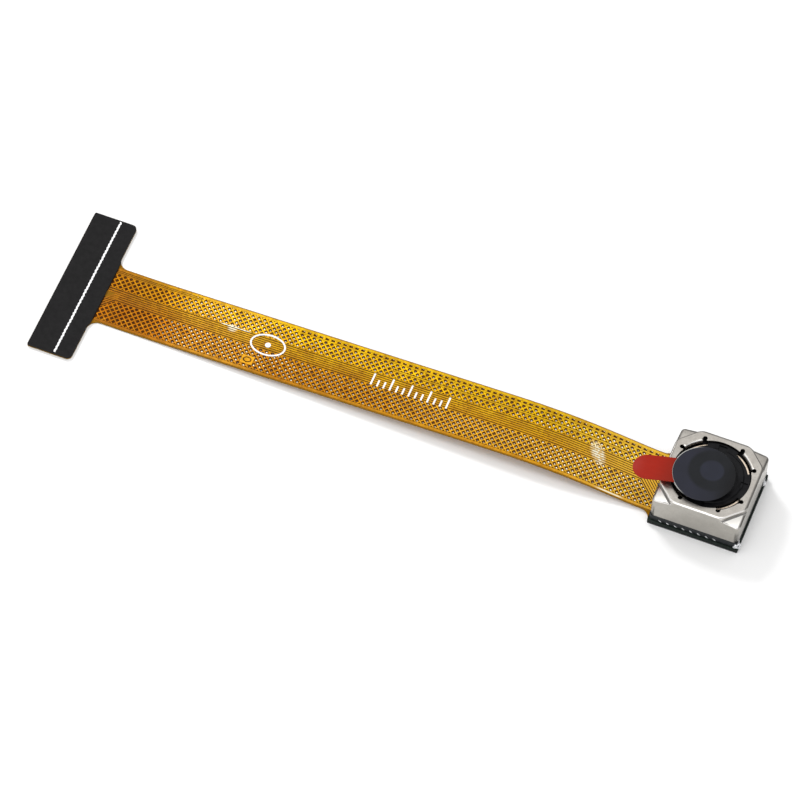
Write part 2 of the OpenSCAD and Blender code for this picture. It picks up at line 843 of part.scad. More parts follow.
module traces_plan() {
    intersection() {
        bundle_plan();
        translate([copper_from, -tail_w]) square([copper_to - copper_from, 2 * tail_w]);
    }
    for (s = [-1, 1])
        line_x(copper_from, copper_to, s * border_y, border_w);
    line_x(copper_from, upper_zone_x, edge_trace_y, edge_trace_w);
    line_x(copper_from, upper_zone_x, edge_row_y, edge_line_w);
    line_x(edge_row_x, copper_to, edge_row_y, edge_line_w);
    line_x(inner_line_x, inner_line_end, inner_line_y, trace_w);
    difference() {
        test_pad_plan(0);
        translate(test_pad) difference() {
            polygon(oval(test_ring_l / 2, test_ring_h / 2));
            polygon(oval(test_ring_l / 2 - test_ring_w, test_ring_h / 2 - test_ring_w));
        }
    }
}

module copper_traces() {
    color([0.85, 0.58, 0.12]) on_tail(film_t, film_t + copper_t) traces_plan();
}

// The fields that the ground lattice fills
module lattice_fields() {
    edge = border_y - border_w / 2 - 0.02;
    under_row = edge_row_y - edge_line_w / 2 - 0.03;
    difference() {
        union() {
            translate([copper_from, -edge]) square([copper_to - copper_from, edge + under_row]);
            translate([upper_zone_x + 0.05, bundle_y]) square([edge_row_x - upper_zone_x - 0.1, edge - bundle_y]);
        }
        corridor_plan();
        line_x(inner_line_x - 0.05, inner_line_end + 0.05, inner_line_y, trace_w + 0.1);
        test_pad_plan(0.1);
    }
}

// Parallel lines across the fields, leaning one way
module lattice(lean) {
    reach = tail_w * 1.5;
    count = ceil((copper_to - copper_from + 2 * tail_w) / lattice_pitch);
    intersection() {
        lattice_fields();
        for (i = [0:count])
            translate([copper_from - tail_w + i * lattice_pitch, 0]) rotate(lean)
                square([lattice_line, reach], center = true);
    }
}

module lattice_rising() {
    color([0.8, 0.52, 0.1]) on_tail(film_t, film_t + copper_t) union() {
        lattice(-45);
        edge_row_bars();
    }
}

// Short bars between the edge and the line beside it
module edge_row_bars() {
    row_low = edge_row_y + edge_line_w / 2 + 0.02;
    row_high = border_y - border_w / 2 - 0.02;
    count = floor((copper_to - edge_row_x) / lattice_pitch);
    for (i = [0:count - 1])
        translate([edge_row_x + i * lattice_pitch, row_low]) square([lattice_pitch * 0.4, row_high - row_low]);
}

module lattice_falling() {
    color([0.8, 0.52, 0.1]) on_tail(film_t + copper_t, film_t + 2 * copper_t) lattice(45);
}

mark_y = 0.14;
tick_count = 13;

// Plain marks in white ink: an oval with a dot, and a scale of long and short ticks
module print_marks() {
    ink_t = 0.02;
    ink_z = film_t + 2 * copper_t;
    color("white") on_tail(ink_z, ink_z + ink_t) union() {
        for (i = [0:tick_count - 1]) {
            h = i % 3 == 0 ? tick_h : 0.55 * tick_h;
            translate([tail_end + ticks_at + i * tick_pitch, mark_y - tick_h / 2]) square([ink_w, h]);
        }
        translate([tail_end + oval_at, mark_y]) difference() {
            polygon(oval(oval_l / 2, oval_h / 2));
            polygon(oval(oval_l / 2 - ink_w, oval_h / 2 - ink_w));
        }
        translate([tail_end + oval_at, mark_y]) circle(1.6 * ink_w);
    }
}

head_stiffener();
flex_film();
copper_traces();
lattice_rising();
lattice_falling();
contact_fingers();
contact_stiffener();
insertion_line();
print_marks();
sensor_board();
edge_pads();
image_sensor();
pixel_array();
chip_capacitors();
driver_chip();
actuator_base();
ir_filter();
yoke_can();
corner_magnets();
spring_frame();
upper_spring();
lower_spring();
coil_terminals();
solder_joints();
lens_carrier();
drive_coil();
lens_barrel();
front_lens();
second_lens();
third_lens();
fourth_lens();
rear_lens();
light_baffles();
retaining_ring();
protective_film();
pull_tab();
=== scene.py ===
# %% [markdown]
# # A small autofocus camera module
#
# The real object is a steel-canned lens head on a flat flexible tail, with a
# stiffened contact end. Its solid model is already made, and this lesson dresses
# it: some solids only get a finish, and the ones whose bends and soft edges
# matter are modelled again on top of their solids.

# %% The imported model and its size
import math
import random

import bmesh
import bpy
from mathutils import Matrix, Vector, noise


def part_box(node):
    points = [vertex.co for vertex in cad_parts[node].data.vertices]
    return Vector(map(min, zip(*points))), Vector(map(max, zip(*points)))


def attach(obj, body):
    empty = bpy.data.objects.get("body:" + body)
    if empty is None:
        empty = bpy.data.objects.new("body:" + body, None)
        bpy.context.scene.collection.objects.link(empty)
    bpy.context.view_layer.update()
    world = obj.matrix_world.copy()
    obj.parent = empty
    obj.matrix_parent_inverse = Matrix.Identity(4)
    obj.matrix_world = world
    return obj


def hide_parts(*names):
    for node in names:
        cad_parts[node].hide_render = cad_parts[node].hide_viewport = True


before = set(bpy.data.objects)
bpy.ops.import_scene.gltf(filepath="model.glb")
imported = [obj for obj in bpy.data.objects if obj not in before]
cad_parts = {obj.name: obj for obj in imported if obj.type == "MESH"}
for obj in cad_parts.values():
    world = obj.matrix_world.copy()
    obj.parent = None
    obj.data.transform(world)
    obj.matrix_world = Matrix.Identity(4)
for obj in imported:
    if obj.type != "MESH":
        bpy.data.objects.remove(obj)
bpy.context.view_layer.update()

MM = 0.001
scene = bpy.context.scene

# %% [markdown]
# Everything on the module is measured in millimetres and Blender works in metres,
# so the pieces are drawn in millimetres and shrunk once, when they are finished.
# Places come from the boxes of the solids, so that a piece follows its solid.

# %% Boxes in millimetres
def box_mm(node):
    low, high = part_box(node)
    return low / MM, high / MM


can_low, can_high = box_mm("yoke_can")
board_low = box_mm("sensor_board")[0]
print("can", [round(v, 2) for v in can_high - can_low], "top at", round(can_high.z, 2))

# %% [markdown]
# A long lens from the front right looks down on the module, as a catalogue picture
# does. The camera aims at a point on the tail and leans slightly, so the tail runs
# from upper left to lower right. Its matrix is built from the three directions of
# the view.

# %% The camera
AZIMUTH, ELEVATION, LEAN = math.radians(17.89), math.radians(56.34), math.radians(-3.87)
AIM = Vector((-30.05, -0.49, 0.0))
DISTANCE = 481.8
LENS = 234.0
NEAREST, FARTHEST = 0.01, 20

sight = Vector((-math.sin(AZIMUTH) * math.cos(ELEVATION), math.cos(AZIMUTH) * math.cos(ELEVATION),
                -math.sin(ELEVATION)))
level = Vector((math.cos(AZIMUTH), math.sin(AZIMUTH), 0))
upward = level.cross(sight)
right = level * math.cos(LEAN) - upward * math.sin(LEAN)
up = level * math.sin(LEAN) + upward * math.cos(LEAN)
camera = bpy.data.objects.new("camera", bpy.data.cameras.new("camera"))
camera.data.lens = LENS
camera.data.clip_start, camera.data.clip_end = NEAREST, FARTHEST
camera.matrix_world = (Matrix.Translation((AIM - sight * DISTANCE) * MM)
                       @ Matrix((right, up, -sight)).transposed().to_4x4())
scene.collection.objects.link(camera)
scene.camera = camera
print("camera at", [round(v / MM, 1) for v in camera.matrix_world.translation])

# %% [markdown]
# Small shiny things are lit by large soft lamps. A white room, greyer near the
# horizon, gives the even part of the light and darkens the far bends of the can,
# which also carry painted shade. One lamp behind the tail gives the soft shadows in
# front and lights the film, whose glints are mostly painted, and two lamps above and
# in front brighten the near bends, which also carry a painted highlight.

# %% Room and lamps
LAMP_DISTANCE = 400
# Heights of the horizon's shade, from and to, and how bright the room is there
ROOM = {"From Min": 0.10, "From Max": 0.60, "To Min": 0.12, "To Max": 0.90}


def lamp(name, spot, towards, radius, radiance):
    """A round lamp in one direction from a spot on the module."""
    light = bpy.data.lights.new(name, "AREA")
    light.shape = "DISK"
    light.size = 2 * radius * MM
    light.energy = radiance * math.pi * math.pi * (radius * MM) ** 2
    thing = bpy.data.objects.new(name, light)
    direction = Vector(towards).normalized()
    place = (Vector(spot) + direction * LAMP_DISTANCE) * MM
    turned = direction.to_track_quat("Z", "Y").to_matrix().to_4x4()
    thing.matrix_world = Matrix.Translation(place) @ turned
    scene.collection.objects.link(thing)


lamp("lamp_back", (-25, 0, 0), (-0.58, 0.46, 0.67), radius=50, radiance=26)
lamp("lamp_front", (0, 0, 0), (-0.11, -0.84, 0.53), radius=90, radiance=2.6)
lamp("lamp_top", (0, 0, 0), (-0.04, -0.05, 1.0), radius=105, radiance=2.2)

room = bpy.data.worlds.new("room")
room.use_nodes = True
tree = room.node_tree
split = tree.nodes.new("ShaderNodeSeparateXYZ")
tree.links.new(tree.nodes.new("ShaderNodeTexCoord").outputs["Generated"], split.inputs[0])
height = tree.nodes.new("ShaderNodeMapRange")
for socket, value in ROOM.items():
    height.inputs[socket].default_value = value
tree.links.new(split.outputs["Z"], height.inputs[0])
tree.links.new(height.outputs[0], tree.nodes["Background"].inputs["Color"])
scene.world = room
scene.view_settings.view_transform = "Standard"

# %% [markdown]
# Finishes are built from nodes. Node maths is hard to read as a list of links, so
# one small class stands for the output of a node and gives it the usual signs of
# arithmetic, and another class holds the material that is being made. A material
# holds many soft steps along a length, which are the methods smooth and band.

# %% Node arithmetic
class Signal:
    """The output of a node; sums, products and comparisons of signals add Math nodes."""

    def __init__(self, look, socket):
        self.look, self.socket = look, socket

    def maths(self, operation, first, second=0.0):
        return self.look.node("ShaderNodeMath", {"operation": operation}, {0: first, 1: second})

    def __add__(self, other): return self.maths("ADD", self, other)
    def __radd__(self, other): return self.maths("ADD", other, self)
    def __sub__(self, other): return self.maths("SUBTRACT", self, other)
    def __rsub__(self, other): return self.maths("SUBTRACT", other, self)
    def __mul__(self, other): return self.maths("MULTIPLY", self, other)
    def __rmul__(self, other): return self.maths("MULTIPLY", other, self)
    def __truediv__(self, other): return self.maths("DIVIDE", self, other)
    def __pow__(self, other): return self.maths("POWER", self, other)
    def __lt__(self, other): return self.maths("LESS_THAN", self, other)
    def __gt__(self, other): return self.maths("GREATER_THAN", self, other)
    def fraction(self): return self.maths("FRACT", self)
    def size(self): return self.maths("ABSOLUTE", self)
    def root(self): return self.maths("SQRT", self)
    def least(self, other): return self.maths("MINIMUM", self, other)
    def most(self, other): return self.maths("MAXIMUM", self, other)


class Look:
    """A material: one Principled shader and the nodes that feed it."""

    def __init__(self, name, **surface):
        self.material = bpy.data.materials.new(name)
        self.material.use_nodes = True
        self.tree = self.material.node_tree
        self.shader = self.tree.nodes["Principled BSDF"]
        self.set(**surface)

    def set(self, **surface):
        for name, value in surface.items():
            self.feed(self.shader.inputs[name.replace("_", " ")], value)

    def feed(self, socket, value):
        if isinstance(value, Signal):
            self.tree.links.new(value.socket, socket)
        elif socket.type == "RGBA":
            socket.default_value = (*value, 1) if len(value) == 3 else value
        else:
            socket.default_value = value

    def node(self, kind, settings=None, inputs=None, output=0):
        made = self.tree.nodes.new(kind)
        for name, value in (settings or {}).items():
            if name == "stops":
                while len(made.color_ramp.elements) < len(value):
                    made.color_ramp.elements.new(1)
                for element, (place, colour) in zip(made.color_ramp.elements, value):
                    element.position, element.color = place, (*colour, 1)
            else:
                setattr(made, name, value)
        for name, value in (inputs or {}).items():
            self.feed(made.inputs[name], value)
        return Signal(self, made.outputs[output])

    def parts(self, vector):
        """The three parts of a vector."""
        split = self.node("ShaderNodeSeparateXYZ", inputs={0: vector})
        return [Signal(self, split.socket.node.outputs[i]) for i in range(3)]

    def place(self):
        """Object coordinates in millimetres, as x, y, z."""
        where = self.node("ShaderNodeTexCoord", output="Object")
        where = self.node("ShaderNodeVectorMath", {"operation": "SCALE"}, {0: where, "Scale": 1 / MM})
        return self.parts(where)

    def facing(self):
        """The direction in which the surface faces, as x, y, z."""
        normal = self.node("ShaderNodeNewGeometry", output="Normal")
        return self.parts(normal)

    def grain(self, size, detail=2.0, stretch=(1, 1, 1)):
        """Noise whose lumps are about so many millimetres across."""
        where = self.node("ShaderNodeTexCoord", output="Object")
        where = self.node("ShaderNodeMapping", inputs={"Vector": where, "Scale": stretch})
        return self.node("ShaderNodeTexNoise",
                         inputs={"Vector": where, "Scale": 1 / (size * MM), "Detail": detail})

    def mix(self, factor, first, second):
        """A colour between two others."""
        return self.node("ShaderNodeMix", {"data_type": "RGBA"}, {0: factor, 6: first, 7: second},
                         output=2)

    def ramp(self, factor, *stops):
        return self.node("ShaderNodeValToRGB", {"stops": stops}, {0: factor})

    def smooth(self, value, low, high, first=0.0, last=1.0, kind="SMOOTHSTEP"):
        """Goes from first to last while the value goes from low to high."""
        return self.node("ShaderNodeMapRange", {"interpolation_type": kind},
                         {0: value, 1: low, 2: high, 3: first, 4: last})

    def band(self, value, start, full, fade, end):
        """Rises from start to full and falls again from fade to end."""
        return self.smooth(value, start, full) * self.smooth(value, end, fade)

    def bump(self, height, depth, strength=1.0, **inputs):
        """Relief of so many millimetres."""
        self.set(Normal=self.node("ShaderNodeBump", inputs={"Height": height, "Distance": depth * MM,
                                                            "Strength": strength, **inputs}))


print("shader helpers ready")

# %% [markdown]
# The floor is plain white paper. It isn't part of the object.

# %% The floor
FLOOR_HALF = 3
paper = Look("paper", Base_Color=(0.95, 0.95, 0.95), Roughness=0.9, Specular_IOR_Level=0.1)
bm = bmesh.new()
bmesh.ops.create_grid(bm, x_segments=1, y_segments=1, size=FLOOR_HALF)
floor_mesh = bpy.data.meshes.new("floor")
bm.to_mesh(floor_mesh)
bm.free()
floor = bpy.data.objects.new("floor", floor_mesh)
floor_mesh.materials.append(paper.material)
scene.collection.objects.link(floor)
print("floor", 2 * FLOOR_HALF, "m wide at z = 0")

# %% [markdown]
# The can is pressed from nickel silver sheet and tumbled, which leaves a fine
# satin skin with faint clouds. Its colour also holds painted light and shade, by the
# direction in which the surface faces: painted highlight on the near bends and near
# shelves, painted shade on the walls, the other bends, the hollow foot of each step
# and the far edges.

# %% Finish: satin can steel
# How far the corner shelves lie below the top, and how far they reach along a side
STEP, LEG = 0.5, 1.85
shelf = can_high.z - STEP
side = can_high.x - can_low.x
DIAGONAL = 0.707
CLOUD_DARK, CLOUD_LIGHT, SPECKLE = (0.47, 0.44, 0.40), (0.58, 0.55, 0.505), (0.42, 0.395, 0.36)
# Painted highlight on the near shelves and painted shade on the walls
LIT_SHELF_TONE, SHADED_WALL_TONE = (0.78, 0.76, 0.72), (0.35, 0.338, 0.305)
# Painted highlight for the near bends; painted shade for the other bends, the hollow feet and the far
# edges
BEND_HIGHLIGHT, PAINTED_SHADE = (1.0, 0.98, 0.95), (0.10, 0.095, 0.09)

satin = Look("satin_can", Metallic=1.0)
x, y, z = satin.place()
facing_y, facing_z = satin.facing()[1:]
tone = satin.ramp(satin.grain(1.1, 4), (0.3, CLOUD_DARK), (0.7, CLOUD_LIGHT))
tone = satin.mix(satin.smooth(satin.grain(0.16, 3), 0.42, 0.68, 0, 0.5), tone, SPECKLE)
# Painted highlight: the near corner shelves are lighter
lit_near_shelf = (z < shelf + 0.02) * (facing_z > 0.9) * (y < -2)
tone = satin.mix(lit_near_shelf, tone, LIT_SHELF_TONE)
# Painted shade: the walls are darker than the top
tone = satin.mix(satin.smooth(facing_z, 0.3, 0.1, 0, 0.55), tone, SHADED_WALL_TONE)
# Painted highlight on the bends that face the front; painted shade on the bends that face away and in
# the hollow foot of each step
bend = satin.smooth(facing_z, 0.985, 0.93) * satin.smooth(facing_z, 0.15, 0.4)
tone = satin.mix(bend * satin.smooth(facing_y, -0.2, -0.42), tone, BEND_HIGHLIGHT)
foot = (z > shelf - 0.01) * (z < shelf + 0.2)
away = bend * satin.smooth(facing_y, -0.25, 0.0).most(foot)
# Painted shade: dark lines along the far edges of the top and of the far steps
from_edge = can_high.x - x.size().most(y)
from_step = ((x.size() + y - side + LEG) * DIAGONAL).size()
outlined = (satin.smooth(from_edge, 0.26, 0.17) * 0.6
            + satin.smooth(from_step, 0.16, 0.05) * (y > 0) * 0.75)
shade_mask = (away * 0.8 + outlined * (facing_z > 0.2)).least(0.8)
satin.set(Base_Color=satin.mix(shade_mask, tone, PAINTED_SHADE),
          Roughness=satin.smooth(satin.grain(0.25, 3), 0.3, 0.7, 0.28, 0.38))
satin.bump(satin.grain(0.06, 3), 0.003, 0.5)
print("satin_can made")

# %% [markdown]
# The tail is copper foil between two amber films. Where the foil is etched away
# the film sinks into the gap and looks dark brown, and a glint is painted into the
# little hollows of the lattice. The hollows follow the two sets of lattice lines,
# so their coordinates are the sums and differences of x and y.

# %% Places on the tail
film_low = box_mm("flex_film")[0]
head_edge = board_low.x
# The first hollow of the lattice is counted from here
LATTICE_PITCH = 0.595
LATTICE_START = box_mm("lattice_rising")[0].x - 6.5
# Half widths of the lattice and of all the copper
LATTICE_EDGE, COPPER_EDGE = 2.95, 3.14
# The signal bundle and its far rail
BUNDLE_Y, BUNDLE_HALF, RAIL_Y, RAIL_HALF = 0.24, 0.74, 0.915, 0.045
# Two painted highlights: each has a middle and half sizes along and across the tail
FLASH_AT, FLASH_HALF, FLASH_LEAN = (-10.9, 0.4), (0.75, 1.2), 0.5
BUNDLE_GLINT_AT, BUNDLE_GLINT_HALF = (-47.3, 0.75), (0.5, 0.45)
# The test pad near the contacts
PAD_AT, PAD_HALF = (-44.7, -2.04), (0.61, 0.49)
# Where the tail bends, from x to x, and by how much its slope changes there
TAIL_BENDS = ((-56.8, -53.4, 0.034), (-19.8, -9.6, -0.173), (-7.3, -4.5, 0.139))


def follow_tail(look, x):
    """How steeply the surface faces up, and the direction across the film on its upper side.

    The direction turns evenly through the tail's bends.
    """
    geometry = look.node("ShaderNodeNewGeometry", output="Normal")
    facing = look.facing()[2]
    slope = 0.0
    for start, end, change in TAIL_BENDS:
        slope = look.smooth(x, start, end, 0, change, "LINEAR") + slope
    across = look.node("ShaderNodeCombineXYZ", inputs={0: -1 * slope, 1: 0.0, 2: 1.0})
    return facing, look.node("ShaderNodeMix", {"data_type": "VECTOR"},
                             {0: facing > 0.5, 4: geometry, 5: across}, output=1)


def hollows(x, y):
    """Where a point lies between two rising and two falling lattice lines, from -0.5 to 0.5."""
    return (((x - y - LATTICE_START) / LATTICE_PITCH).fraction() - 0.5,
            ((x + y - LATTICE_START) / LATTICE_PITCH).fraction() - 0.5)


def oval(x, y, at, half):
    """Grows from 0 in the middle of an oval to 1 on its line."""
    return ((x - at[0]) / half[0]) ** 2 + ((y - at[1]) / half[1]) ** 2


def flash_oval(x, y):
    """The oval of the painted highlight near the head, which leans against the tail."""
    return oval(x + FLASH_LEAN * (y - FLASH_AT[1]), y, FLASH_AT, FLASH_HALF)


print("hollows every", LATTICE_PITCH, "mm from x =", round(LATTICE_START, 2))

# %% [markdown]
# The film between the copper lines gets its colour in layers: dark brown with
# patches, a painted glint beside each hollow in two stretches, then the bare
# margins, the underside, the cut edge and a painted highlight where the flash is.
# Under the head it is the board's black.

# %% Finish: amber film between the copper
BROWN_CONTACTS, BROWN_HEAD = (0.055, 0.014, 0.0005), (0.065, 0.021, 0.001)
BROWN_PATCH = (0.10, 0.038, 0.002)
# The spark is a painted glint and the lit film a painted highlight; the bare film is its own colour
SPARK, LIT_FILM, BARE_FILM = (1.0, 0.94, 0.74), (0.9, 0.6, 0.2), (0.26, 0.115, 0.004)
UNDERSIDE, CUT_EDGE, BLACK_FILM = (0.42, 0.20, 0.015), (0.20, 0.11, 0.004), (0.012, 0.014, 0.013)

amber = Look("amber_film", Roughness=0.3, Coat_Weight=0.2, Coat_Roughness=0.05, Coat_IOR=1.5,
             Specular_IOR_Level=0.0)
x, y, z = amber.place()
rising, falling = hollows(x, y)
shade = amber.mix(amber.smooth(x, film_low.x + 10, -8), BROWN_CONTACTS, BROWN_HEAD)
shade = amber.mix(amber.smooth(amber.grain(2.0, 3), 0.35, 0.65, 0, 0.35), shade, BROWN_PATCH)
# Painted glints: a dot beside the middle of each hollow, in two stretches of the tail
zones = (amber.smooth(x, -55, -50) * amber.smooth(x, -44, -36, 1.1, 0.5)
         + amber.smooth(x, -20, -12, 0, 1.1))
in_lattice = ((y - BUNDLE_Y).size() > BUNDLE_HALF) * (y.size() < LATTICE_EDGE)
aside, below = rising - 0.15, falling + 0.04
dot = amber.smooth(aside * aside + below * below, 0.018, 0.034, 1, 0)
uneven = amber.smooth(amber.grain(0.5, 2), 0.35, 0.6, 0.1, 1)
shade = amber.mix(dot * zones * in_lattice * uneven, shade, SPARK)
# Bare film: beside the copper and at the contacts, then the underside and the cut edge
bare = ((y.size() > COPPER_EDGE) * (x > film_low.x + 4)
        + (x < -58.5) * ((y - 0.1).size() < 0.42))
shade = amber.mix(bare, shade, BARE_FILM)
facing, across = follow_tail(amber, x)
shade = amber.mix(facing < -0.3, shade, UNDERSIDE)
shade = amber.mix(facing.size() < 0.3, shade, CUT_EDGE)
# Painted highlight: the film is lighter inside the flash's oval
shade = amber.mix(amber.smooth(flash_oval(x, y), 1.2, 0.0, 0, 0.4), shade, LIT_FILM)
under_head = x > head_edge
amber.set(Base_Color=amber.mix(under_head, shade, BLACK_FILM))
bowl = rising * rising + falling * falling
amber.bump(bowl * (1 - under_head), 0.12, 1.0, Normal=across)
print("amber_film made")

# %% [markdown]
# Copper under amber film looks like warm gold: orange near the contacts, where the
# film is thicker, and yellower towards the head and the far edge. A fully metallic
# shader keeps its reflections golden, and slow waves in the film break them up.
# Single places shine: these highlights are painted in by place, because a lamp
# small enough to light them would also light the rest of the tail.

# %% Shine and lattice lines
ORANGE, GOLD, LEMON = (0.36, 0.125, 0.002), (0.80, 0.37, 0.005), (0.95, 0.60, 0.003)
# Stains, flecks and the pad's tone are the copper's own; the lit gold, the brim, the line core, the
# glints and the flash tone are painted light and shade
STAIN, FLECK, LIT_GOLD = (0.36, 0.12, 0.002), (0.28, 0.09, 0.001), (1.0, 0.60, 0.06)
SHADED_BRIM, LIT_LINE_CORE, LINE_GLINT = (0.30, 0.085, 0.003), (1.0, 0.60, 0.05), (1.0, 0.80, 0.06)
PAD_TONE, FLASH_TONE = (0.80, 0.38, 0.01), (1.0, 0.96, 0.74)


def tinted(colour, tint):
    """Red and green are scaled; blue is what the film lets through."""
    return (colour[0] * tint, colour[1] * tint, colour[2])


def shine(look, x, y):
    """Where highlights are painted on the copper: a flash near the head, a stretch of the near edge, a
    glint on the bundle near the contacts and a stretch of the rail beside it."""
    flash = (look.smooth(flash_oval(x, y), 1.4, 0.0) ** 1.3
             * look.smooth(look.grain(0.22, 2), 0.35, 0.6, 0.25, 1.3))
    edge = ((y + 3.05).size() < 0.07) * look.band(x, -10.2, -9.2, -7.8, -7)
    bundle_glint = look.smooth(oval(x, y, BUNDLE_GLINT_AT, BUNDLE_GLINT_HALF), 1.3, 0.0)
    rail = ((y - RAIL_Y).size() < RAIL_HALF) * look.band(x, -48.7, -48.2, -45.9, -45.4)
    return (flash + edge * 0.9 + bundle_glint * 0.7 + rail * 0.8).least(1.0)


def lined(look, x, y, colour, brim):
    """Lattice lines: painted shade in a dark brim along each hollow, a painted highlight on the core and
    a few painted glints.
    """
    rising, falling = hollows(x, y)
    inner = look.smooth(rising.size().most(falling.size()), 0.375, 0.45, 1, 0)
    core = 1 - inner
    # Painted shade along the brim of each line, stronger towards the near side
    colour = look.mix(inner * look.smooth(y, 1.0, -0.6, 0.3, brim), colour, SHADED_BRIM)
    near_head = look.smooth(y, 0.8, -0.4) * look.smooth(x, -36, -16, 0, 0.5)
    # Painted highlight on the core of the lines near the head
    colour = look.mix(near_head * core, colour, LIT_LINE_CORE)
    # Painted glints on the cores near the head
    glints = look.smooth(look.grain(0.35, 2), 0.52, 0.66) * look.smooth(x, -16, -9, 0.1, 0.8)
    return look.mix(glints * core, colour, LINE_GLINT)


print("copper helpers ready")

# %% [markdown]
# The copper's colour is built up like the film's: from orange to gold along the
# tail, lemon at the far edge, then stains and flecks, and a painted highlight on two
# stretches. The signal lines and the lattice share this finish, and only the lattice
# has brims, which are painted shade.

# %% Finish: copper under film
def coppery(name, tint, rough, sheen, brim=0.0):
    """Copper seen through the film; a brim above 0 is for lattice lines."""
    look = Look(name, Metallic=1.0, Coat_Roughness=0.06, Coat_IOR=1.5, Coat_Weight=sheen)
    x, y, z = look.place()
    colour = look.mix(look.smooth(x, film_low.x + 6, -12), tinted(ORANGE, tint), tinted(GOLD, tint))
    far_edge = look.smooth(y, -1.5, 2.6, 0, 0.85) * look.smooth(x, -60, -42, 0.1, 1)
    colour = look.mix(far_edge, colour, tinted(LEMON, tint))
    colour = look.mix(look.smooth(look.grain(1.3, 4), 0.35, 0.7, 0, 0.4), colour, tinted(STAIN, tint))
    colour = look.mix(look.smooth(look.grain(0.25, 2), 0.5, 0.7, 0, 0.5), colour, tinted(FLECK, tint))
    # Painted highlight: two stretches of the tail made lighter, as if in full light
    lit = (look.smooth(x, -54, -50) * look.smooth(x, -42, -46, 0, 0.15)
           + look.smooth(x, -16, -8, 0, 0.5))
    colour = look.mix(lit, colour, tinted(LIT_GOLD, tint))
    if brim:
        colour = lined(look, x, y, colour, brim)
    pad = (((x - PAD_AT[0]).size() < PAD_HALF[0])
           * ((y - PAD_AT[1]).size() < PAD_HALF[1]))
    colour = look.mix(pad * 0.7, colour, PAD_TONE)
    # Painted highlights: the flash, the near edge, the bundle's glint and the rail
    colour = look.mix(shine(look, x, y), colour, FLASH_TONE)
    look.set(Base_Color=colour, Roughness=look.smooth(look.grain(0.4, 3), 0.3, 0.7, *rough))
    across = follow_tail(look, x)[1]
    look.bump(look.grain(1.4, 2, (0.5, 1, 1)), 0.02, 0.5, Normal=across)
    return look


foil = coppery("copper_lines", 0.95, (0.20, 0.30), 0.35)
lattice_foil = coppery("copper_lattice", 1.0, (0.26, 0.40), 0.15, 0.85)
print("two copper finishes made")

# %% [markdown]
# The other finishes are simpler: black stiffener film with a fine matt grain,
# printing ink, moulded black plastic, laminated board, solder and the metals inside
# the head. One function makes a grained finish from two colours.

# %% Finish: grained surfaces
def grained(name, dark, light, size, rough, relief=0.0, metallic=0.0, **more):
    """Two colours blended by noise, with a roughness range and a relief in millimetres."""
    look = Look(name, Metallic=metallic, **more)
    look.set(Base_Color=look.mix(look.smooth(look.grain(size * 4, 4), 0.3, 0.7), dark, light),
             Roughness=look.smooth(look.grain(size, 3), 0.3, 0.7, *rough))
    if relief:
        look.bump(look.grain(size, 3), relief, 0.8)
    return look


looks = {
    "black_film": grained("black_film", (0.0075, 0.0072, 0.0075), (0.0105, 0.010, 0.0105),
                          0.12, (0.6, 0.75), 0.006, Specular_IOR_Level=0.12),
    "white_ink": grained("white_ink", (0.85, 0.85, 0.86), (0.95, 0.95, 0.95), 0.1, (0.5, 0.7), 0.006),
    "gold": grained("gold_plate", (0.72, 0.46, 0.12), (0.85, 0.60, 0.20), 0.2, (0.2, 0.35), 0.003, 1.0),
    "board": grained("board_laminate", (0.006, 0.011, 0.008), (0.012, 0.020, 0.016),
                     0.15, (0.5, 0.65), 0.006, Specular_IOR_Level=0.12),
    "solder": grained("solder", (0.62, 0.63, 0.65), (0.82, 0.83, 0.85), 0.12, (0.15, 0.35), 0.02, 1.0),
    "steel": grained("plate_steel", (0.025, 0.026, 0.028), (0.04, 0.042, 0.045),
                     0.2, (0.35, 0.5), 0.004, 0.4),
    "silicon": grained("silicon", (0.08, 0.09, 0.11), (0.12, 0.13, 0.16), 0.3, (0.1, 0.2), 0.0, 0.6),
    "array": grained("pixel_field", (0.03, 0.10, 0.08), (0.10, 0.05, 0.12), 0.6, (0.1, 0.2), 0.0, 0.3),
    "ceramic": grained("chip_ceramic", (0.33, 0.22, 0.13), (0.45, 0.32, 0.20), 0.08, (0.5, 0.6), 0.004),
    "black": grained("moulded_black", (0.004, 0.004, 0.005), (0.008, 0.008, 0.009),
                     0.15, (0.35, 0.5), 0.005, Specular_IOR_Level=0.12),
    "base": grained("base_black", (0.013, 0.015, 0.017), (0.021, 0.024, 0.026),
                    0.15, (0.45, 0.6), 0.006, Specular_IOR_Level=0.2),
    "magnet": grained("nickel_magnet", (0.45, 0.44, 0.42), (0.6, 0.59, 0.57),
                      0.3, (0.25, 0.4), 0.003, 1.0),
    "spring": grained("spring_copper", (0.86, 0.66, 0.46), (0.95, 0.80, 0.62),
                      0.2, (0.2, 0.3), 0.002, 1.0),
    "coil": grained("coil_copper", (0.60, 0.26, 0.10), (0.75, 0.38, 0.16), 0.05, (0.3, 0.45), 0.02, 1.0),
    "glass": grained("coated_glass", (0.010, 0.012, 0.03), (0.02, 0.022, 0.05),
                     0.8, (0.03, 0.06), 0.0, 0.0, Coat_Weight=1.0, Coat_IOR=1.9),
    "filter": grained("filter_glass", (0.12, 0.20, 0.26), (0.18, 0.27, 0.32),
                      0.8, (0.04, 0.08), 0.0, 0.2),
    "amber": amber, "foil": foil, "lattice": lattice_foil,
}
print(len(looks), "finishes made")

# %% [markdown]
# The upper spring's ring is painted dark as shade, except for a thin line that keeps
# the metal's bright colour, which is what the opening of the can shows of it.

# %% Finish: the upper spring
LINE_FROM, LINE_TO, LINE_FADE = 3.37, 3.55, 0.04
# Painted shade over the ring, and the metal's own colour on the thin line
RING_SHADE, SPRING_METAL = (0.012, 0.012, 0.013), (0.93, 0.78, 0.62)

